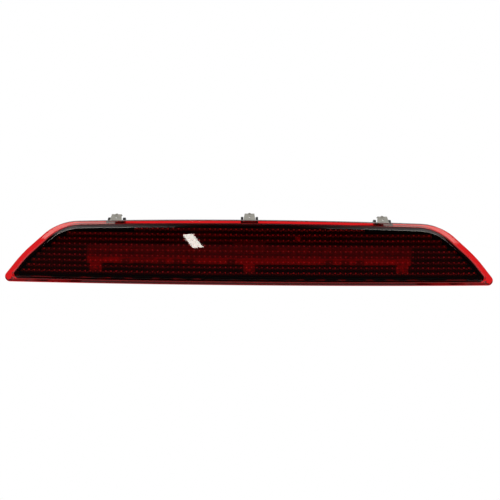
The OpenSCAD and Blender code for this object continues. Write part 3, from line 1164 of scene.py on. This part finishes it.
        move_points(pillow, domed)
        rows = []
        for k in range(self.row_count()):
            high = self.lowest() + (k + 1) * self.pillow_height
            each_side = int(self.outline.reach(high, self.field_inset) // self.pillow_width)
            focus(pillow)
            bpy.ops.object.duplicate(linked=False)
            row = christen(f"pillow_row_{k}")
            start = (0.5 - each_side) * self.pillow_width * MM
            level = (high - self.pillow_height / 2) * MM
            move_points(row, lambda p, dx=start, dz=level: p + Vector((dx, 0, dz)))
            repeat(row, self.pillow_width, 2 * each_side)
            rows.append(row)
        bpy.data.objects.remove(pillow)
        block = joined("pillow_block", rows)
        bpy.ops.object.mode_set(mode="EDIT")
        bpy.ops.mesh.select_all(action="SELECT")
        bpy.ops.mesh.remove_doubles(threshold=self.merge * MM)
        bpy.ops.mesh.select_mode(type="EDGE")
        bpy.ops.mesh.select_all(action="DESELECT")
        bpy.ops.mesh.select_non_manifold(
            use_wire=False, use_multi_face=False, use_non_contiguous=False, use_verts=False
        )
        bpy.ops.mesh.extrude_region_move()
        bpy.ops.transform.resize(value=(1, 0, 1), center_override=(0, foot, 0))
        bpy.ops.object.mode_set(mode="OBJECT")
        close(block)
        return block

    def row_count(self) -> int:
        """How many rows of pillows there is room for."""
        return int((self.outline.height - 2 * self.field_inset) // self.pillow_height)

    def lowest(self) -> float:
        """Lower edge of the field of pillows."""
        return self.pillow_shift - self.row_count() * self.pillow_height / 2

    def mark(self, x: float, z: float) -> Stuff:
        """Finish of a pillow's face: clear, or one of the two painted highlights.

        Args:
            x: the middle of the face along the lens.
            z: the height of its middle.

        Returns:
            The painted highlight dot's finish over the middle, the fainter painted highlight
            specks' at both sides, else the clear one.
        """
        u = 2 * ((x / self.pillow_width) % 1) - 1
        v = 2 * (((z - self.lowest()) / self.pillow_height) % 1) - 1
        if abs(u) < self.highlight_half and abs(v - self.highlight_rise) < self.highlight_half:
            return Stuff.RED_DOTS
        if abs(abs(u) - self.highlight_side) < self.highlight_half and abs(v) < self.highlight_half:
            return Stuff.RED_SPECKS
        return Stuff.RED_PILLOWS

    def build(self, lamp: Lamp) -> None:
        """Builds, dresses and fits the lens.

        Args:
            lamp: the frame that it goes on.
        """
        lens = self.shell()
        block = self.pillows()
        union = lens.modifiers.new("optics", "BOOLEAN")
        union.operation = "UNION"
        union.solver = "EXACT"
        union.object = block
        apply_modifiers(lens)
        bpy.data.objects.remove(block)
        dress(lens, *self.finishes)
        # pillow faces get the clear finish or one of the painted highlights
        level = (self.wall + self.face_depth) * MM
        for face in lens.data.polygons:
            x, z = face.center.x / MM, face.center.z / MM
            high, low = self.outline.limits(x, self.field_inset - self.field_margin)
            inside = low < z < high and abs(face.normal.y) > self.face_turn
            if inside and face.center.y > level:
                face.material_index = self.finishes.index(self.mark(x, z))
        front = self.front()

        def bowed(place: Vector) -> Vector:
            """Sweeps the lens back towards its ends, and puts it in its place."""
            place.y += (front + self.bow(place.x / MM)) * MM
            return place

        move_points(lens, bowed)
        smooth(lens, self.crisp)
        lamp.fit(lens, "lamp", "red_lens", "lens")


@dataclass
class Housing:
    """Black tray with its lugs, pegs, hooks and ribs, and what is on its back."""

    outline: Outline
    ease: float = 0.35
    # the inside of the tray, which gets a darker matt black as painted shade: its inset, and the
    # depth where its floor ends
    inner: float = 4.5
    floor: float = -1.0
    foam_ease: float = 0.9
    film_ease: float = 0.12
    socket_ease: float = 0.25
    blade_ease: float = 0.22

    def build(self, lamp: Lamp) -> None:
        """Builds, dresses and fits the housing and the pieces on its back.

        Args:
            lamp: the frame that they go on.
        """
        tray = lamp.remade(
            "housing", "housing_moulded", self.ease, Stuff.BLACK_PLASTIC, Stuff.BLACK_MATT
        )
        # faces inside the tray take the darker matt black, painted shade
        for face in tray.data.polygons:
            x, y, z = face.center / MM
            high, low = self.outline.limits(x, self.inner)
            face.material_index = int(y < self.floor and low < z < high)
        foam = lamp.remade("body_seal", "foam_gasket", self.foam_ease, Stuff.FOAM, steps=3)
        lamp.remade("vent_membrane", "vent_film_disc", self.film_ease, Stuff.VENT_FILM)
        lamp.remade(
            "connector_header", "plug_socket_moulded", self.socket_ease, Stuff.SOCKET_PLASTIC
        )
        lamp.keep("connector_seal", Stuff.SEAL_RUBBER)
        for side in ("left", "right"):
            lamp.remade(
                f"terminal_{side}", f"terminal_blade_{side}", self.blade_ease, Stuff.TERMINAL_BRASS
            )


@dataclass
class Board:
    """LED board with its lights, chips and screws."""

    count: int = 14
    pitch: float = 18.0
    size: float = 7.6
    rise: float = 4.6
    ease: float = 0.45
    # dome of an LED, from its foot up: radius in half sizes, height over the body in body heights
    dome: tuple[Flat, ...] = ((0.72, -0.2), (0.72, 0.15), (0.68, 0.45), (0.56, 0.75), (0.34, 0.94))
    sides: int = 20
    crisp: float = 40.0
    chip_ease: float = 0.15
    end_turn: float = 0.9
    screw_ease: float = 0.2

    def light(self, x: float, y: float, z: float) -> Piece:
        """Models one LED: a body with eased edges and a round dome.

        Args:
            x: place of its middle, in millimetres.
            y: place of the board's front.
            z: height of its middle.

        Returns:
            The LED.
        """
        half, body = self.size / 2 * MM, self.rise / 2 * MM
        deselect()
        bpy.ops.mesh.primitive_cube_add(
            size=1,
            location=(x * MM, y * MM - body / 2, z * MM),
            scale=(2 * half, body, 2 * half),
        )
        block = christen("led_body")
        settle(block)
        bpy.ops.object.mode_set(mode="EDIT")
        bpy.ops.mesh.select_all(action="SELECT")
        bpy.ops.mesh.bevel(offset=self.ease * MM, segments=2)
        bpy.ops.object.mode_set(mode="OBJECT")
        turns = [2 * math.pi * i / self.sides for i in range(self.sides)]
        rings = []
        for share, out in self.dome:
            rings.append(
                [
                    (
                        x * MM + half * share * math.cos(t),
                        y * MM - body * (1 + out),
                        z * MM + half * share * math.sin(t),
                    )
                    for t in turns
                ]
            )
        dome = loft("led_dome", rings)
        close(dome)
        return joined("led", [block, dome])

    def build(self, lamp: Lamp) -> None:
        """Builds, dresses and fits the board and everything on it.

        Args:
            lamp: the frame that they go on.
        """
        low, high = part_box("leds")
        first = low.x / MM + self.size / 2
        lights = self.light(first, high.y / MM, (low.z + high.z) / 2 / MM)
        repeat(lights, self.pitch, self.count)
        christen("led_string")
        smooth(lights, self.crisp)
        dress(lights, Stuff.LED_EPOXY)
        lamp.fit(lights, "lamp", "led_epoxy", "leds")
        lamp.keep("led_board", Stuff.BOARD_WHITE)
        chips = (
            ("resistors", "resistor_chips", Stuff.CHIP_BLACK),
            ("driver_chip", "driver_package", Stuff.CHIP_PALE),
            ("capacitors", "capacitor_chips", Stuff.CHIP_TAN),
            ("suppressor_diode", "diode_package", Stuff.CHIP_PALE),
        )
        for node, name, stuff in chips:
            chip = lamp.remade(node, name, self.chip_ease, stuff, Stuff.TIN, steps=1)
            for face in chip.data.polygons:
                face.material_index = int(abs(face.normal.x) > self.end_turn)
        lamp.remade("board_screws", "pan_head_screws", self.screw_ease, Stuff.ZINC_STEEL)


@dataclass
class Clips:
    """The three spring clips, each with a saddle on the lug and a leg that flexes."""

    sides: tuple[str, ...] = ("left", "centre", "right")
    ease: float = 0.12

    def build(self, lamp: Lamp) -> None:
        """Builds, dresses and fits the clips.

        Args:
            lamp: the frame that they go on.
        """
        for side in self.sides:
            for part, body in (("saddle", "lamp"), ("leg", f"clip_{side}")):
                node = f"clip_{part}_{side}"
                lamp.remade(node, f"{node}_steel", self.ease, Stuff.SPRING_STEEL, body=body)


# ------------------------------------------------------------------ studio


@dataclass
class Softbox:
    """One area light, placed by the direction in which the lamp sees it."""

    name: str
    azimuth: float
    elevation: float
    distance: float
    width: float
    height: float
    radiance: float
    roll: float = 0.0
    mirrored: bool = True

    def place(self, target: Vector, colour: Colour) -> None:
        """Adds the light, turned to the target.

        Args:
            target: the point that it faces.
            colour: the colour of its light.
        """
        a, e = math.radians(self.azimuth), math.radians(self.elevation)
        away = Vector((math.sin(a) * math.cos(e), -math.cos(a) * math.cos(e), math.sin(e)))
        data = bpy.data.lights.new(self.name, "AREA")
        data.shape = "RECTANGLE"
        data.size, data.size_y = self.width, self.height
        data.color = colour
        data.energy = self.radiance * math.pi * self.width * self.height
        light = bpy.data.objects.new(self.name, data)
        bpy.context.scene.collection.objects.link(light)
        light.location = target + away * self.distance
        turn = away.to_track_quat("Z", "Y").to_matrix().to_4x4()
        light.rotation_euler = turn.to_euler()
        light.rotation_euler.rotate_axis("Z", math.radians(self.roll))
        light.visible_camera = False
        light.visible_transmission = False
        light.visible_glossy = self.mirrored


@dataclass(frozen=True)
class Ramp:
    """A smooth run from one level to another, between two values of a part of a direction."""

    start: float
    end: float
    low: float = 0.0
    high: float = 1.0


@dataclass
class Surroundings:
    """White room: bright behind the lamp, dim in front, a glow on both sides of the camera."""

    # light from behind: under and over the level of the lamp, and beside its ends
    under: Ramp = Ramp(-0.05, -0.036, 1.15, 0.06)
    over: Ramp = Ramp(0.04, 0.11)
    ends_aside: Ramp = Ramp(0.178, 0.192)
    ends_up: Ramp = Ramp(-0.07, -0.02, 1.0, 0.3)
    # how it fades downwards and towards the front
    ground: Ramp = Ramp(-0.6, -0.3, 0.25, 1.0)
    back: Ramp = Ramp(-0.25, 0.45, 0.03, 1.0)
    # glow over both sides of the camera
    glow_aside: Ramp = Ramp(0.08, 0.4)
    glow_up: Ramp = Ramp(0.12, 0.4)
    glow_slant: Ramp = Ramp(1.15, 1.5, 1.0, 0.0)
    glow_back: Ramp = Ramp(-0.35, 0.0, 1.7, 0.0)
    # narrow band low in front
    band_low: Ramp = Ramp(-0.63, -0.59)
    band_high: Ramp = Ramp(-0.54, -0.48, 0.3, 0.0)
    band_back: Ramp = Ramp(-0.5, 0.0, 1.0, 0.0)
    # light from below on both sides
    fill_up: Ramp = Ramp(-0.6, -0.3, 0.6, 0.0)
    fill_aside: Ramp = Ramp(0.3, 0.6)

    def build(self) -> None:
        """Makes the world, plain white to the camera and shaped by the ramps for all else."""
        world = bpy.data.worlds.new("surroundings")
        bpy.context.scene.world = world
        world.use_nodes = True
        tree = world.node_tree
        tree.nodes.clear()
        new, link = tree.nodes.new, tree.links.new
        output = new("ShaderNodeOutputWorld")
        seen, room = new("ShaderNodeBackground"), new("ShaderNodeBackground")
        mix, rays = new("ShaderNodeMixShader"), new("ShaderNodeLightPath")
        link(rays.outputs["Is Camera Ray"], mix.inputs["Fac"])
        link(room.outputs["Background"], mix.inputs[1])
        link(seen.outputs["Background"], mix.inputs[2])
        link(mix.outputs["Shader"], output.inputs["Surface"])
        for background in (seen, room):
            background.inputs["Color"].default_value = (1, 1, 1, 1)
        axes = new("ShaderNodeSeparateXYZ")
        link(new("ShaderNodeTexCoord").outputs["Generated"], axes.inputs["Vector"])

        def ramp(value: Socket, step: Ramp) -> Socket:
            """Level of a ramp at a value.

            Args:
                value: a part of the direction.
                step: the ramp over it.

            Returns:
                The level.
            """
            node = new("ShaderNodeMapRange")
            node.interpolation_type = "SMOOTHSTEP"
            for socket, number in zip(node.inputs[1:5], astuple(step)):
                socket.default_value = number
            link(value, node.inputs["Value"])
            return node.outputs["Result"]

        def combined(operation: str, *values: Socket) -> Socket:
            """Joins one or two values by an operation.

            Args:
                operation: the name of the operation.
                values: what it works on.

            Returns:
                Its result.
            """
            node = new("ShaderNodeMath")
            node.operation = operation
            for value, socket in zip(values, node.inputs):
                link(value, socket)
            return node.outputs["Value"]

        def product(first: Socket, *others: Socket) -> Socket:
            """All values multiplied.

            Args:
                first: the value to start from.
                others: what it is multiplied by.

            Returns:
                The product.
            """
            for other in others:
                first = combined("MULTIPLY", first, other)
            return first

        x, y, z = axes.outputs
        aside = combined("ABSOLUTE", x)
        slant = combined("DIVIDE", aside, z)
        level = combined("MAXIMUM", ramp(z, self.under), ramp(z, self.over))
        ends = product(ramp(aside, self.ends_aside), ramp(z, self.ends_up))
        level = combined("MAXIMUM", level, ends)
        behind = product(level, ramp(z, self.ground), ramp(y, self.back))
        sides = product(
            ramp(aside, self.glow_aside),
            ramp(z, self.glow_up),
            ramp(slant, self.glow_slant),
            ramp(y, self.glow_back),
        )
        band = product(ramp(z, self.band_low), ramp(z, self.band_high), ramp(y, self.band_back))
        fill = product(ramp(z, self.fill_up), ramp(aside, self.fill_aside))
        below = combined("ADD", band, fill)
        total = combined("ADD", combined("ADD", behind, sides), below)
        link(total, room.inputs["Strength"])


@dataclass
class Studio:
    """Camera, lights, pale floor and white surroundings."""

    distance: float = 0.9
    elevation: float = 5.678
    roll: float = -0.513
    focal_px: float = 1119.3
    centre_px: Flat = (249.155, 253.296)
    frame_px: float = 500.0
    sensor: float = 36.0
    clip: Flat = (0.01, 50.0)
    floor_level: float = -0.9
    floor_size: float = 12.0
    room: Surroundings = field(default_factory=Surroundings)
    # each with its azimuth, elevation, distance, width, height and radiance, and some a roll
    boxes: tuple[Softbox, ...] = (
        Softbox("window", -7.85, -1.08, 1.55, 0.04, 0.1434, 21.0, roll=16.4),
        Softbox("bank_left", -29, 14, 1.5, 0.638, 0.315, 4.5),
        Softbox("bank_left_inner", -14, 14, 1.5, 0.157, 0.315, 1.4),
        Softbox("bank_right", 29, 14, 1.5, 0.638, 0.315, 4.0),
        Softbox("bank_right_inner", 14, 14, 1.5, 0.157, 0.315, 1.0),
        Softbox("fill_left", -40, 25, 1.5, 0.5, 0.5, 4.2, mirrored=False),
        Softbox("fill_right", 40, 25, 1.5, 0.5, 0.5, 4.2, mirrored=False),
    )
    warm: Colour = (1.0, 0.93, 0.85)

    def camera(self, target: Vector) -> None:
        """Sets up the camera.

        Args:
            target: the point at the middle of the lens front.
        """
        e = math.radians(self.elevation)
        away = Vector((0, -math.cos(e), math.sin(e)))
        data = bpy.data.cameras.new("camera")
        data.sensor_width = self.sensor
        data.lens = self.focal_px * self.sensor / self.frame_px
        data.shift_x = (self.frame_px / 2 - self.centre_px[0]) / self.frame_px
        data.shift_y = (self.centre_px[1] - self.frame_px / 2) / self.frame_px
        data.clip_start, data.clip_end = self.clip
        camera = bpy.data.objects.new("camera", data)
        bpy.context.scene.collection.objects.link(camera)
        camera.location = target + away * self.distance
        camera.rotation_euler = away.to_track_quat("Z", "Y").to_euler()
        camera.rotation_euler.rotate_axis("Z", math.radians(-self.roll))
        bpy.context.scene.camera = camera

    def floor(self) -> None:
        """Lays the pale floor, seen by the camera alone."""
        deselect()
        bpy.ops.mesh.primitive_plane_add(size=self.floor_size, location=(0, 0, self.floor_level))
        floor = christen("floor")
        settle(floor)
        material = bpy.data.materials.new("floor_white")
        material.use_nodes = True
        tree = material.node_tree
        tree.nodes.clear()
        glow = tree.nodes.new("ShaderNodeEmission")
        output = tree.nodes.new("ShaderNodeOutputMaterial")
        tree.links.new(glow.outputs["Emission"], output.inputs["Surface"])
        floor.data.materials.append(material)
        floor.visible_diffuse = False
        floor.visible_glossy = False
        floor.visible_transmission = False
        floor.visible_shadow = False

    def build(self, target: Vector) -> None:
        """Sets up camera, surroundings, floor and lights.

        Args:
            target: the point at the middle of the lens front.
        """
        self.camera(target)
        self.room.build()
        self.floor()
        for box in self.boxes:
            box.place(target, self.warm)
        bpy.context.scene.view_settings.view_transform = "Standard"


def main() -> None:
    """Builds the lamp and its studio."""
    logging.basicConfig(level=logging.INFO, format="%(message)s")
    lamp = Lamp(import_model())
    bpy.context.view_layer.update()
    lens = Lens()
    Studio().build(Vector((0, lens.front() * MM, 0)))
    lens.build(lamp)
    Housing(lens.outline).build(lamp)
    Board().build(lamp)
    Clips().build(lamp)


if __name__ == "__main__":
    main()
